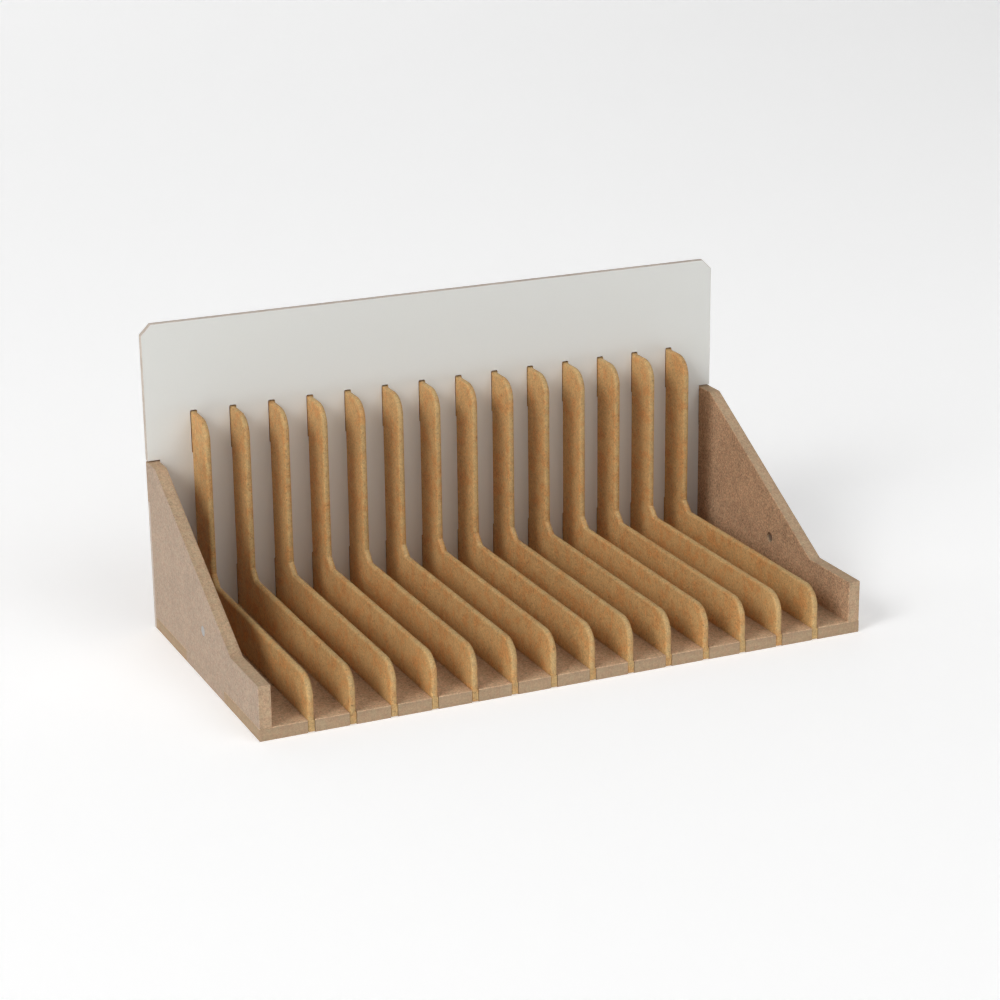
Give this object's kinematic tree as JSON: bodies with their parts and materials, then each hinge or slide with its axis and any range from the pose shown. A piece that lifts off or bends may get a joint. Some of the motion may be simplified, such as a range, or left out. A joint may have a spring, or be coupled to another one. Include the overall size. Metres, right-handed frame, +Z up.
{
  "type": "paint rack organizer",
  "caption": "Desk rack of machined board: a base, sloped side panels and a white back panel carry a row of rounded L-shaped dividers with narrow channels between them.",
  "frame": {"origin": "underside, in the middle of the footprint", "axes": "+X along the width of the rack, +Y from the open front towards the back panel, +Z up"},
  "size_m": [0.3, 0.153, 0.15],
  "materials": {
    "raw_mdf": "raw machined MDF, fine speckle, matt",
    "brown_hdf": "raw hardboard, smooth, low sheen",
    "white_lacquered_hdf": "white satin lacquer on the front, raw brown edges and back",
    "nickel": "nickel plated"
  },
  "bodies": {
    "root": {"base_board": "raw_mdf", "back_panel": "white_lacquered_hdf", "side_panel_left": "raw_mdf", "side_panel_right": "raw_mdf", "magnet_left": "nickel", "magnet_right": "nickel", "divider_01": "brown_hdf", "divider_02": "brown_hdf", "divider_03": "brown_hdf", "divider_04": "brown_hdf", "divider_05": "brown_hdf", "divider_06": "brown_hdf", "divider_07": "brown_hdf", "divider_08": "brown_hdf", "divider_09": "brown_hdf", "divider_10": "brown_hdf", "divider_11": "brown_hdf", "divider_12": "brown_hdf", "divider_13": "brown_hdf", "divider_14": "brown_hdf"}
  },
  "joints": []
}
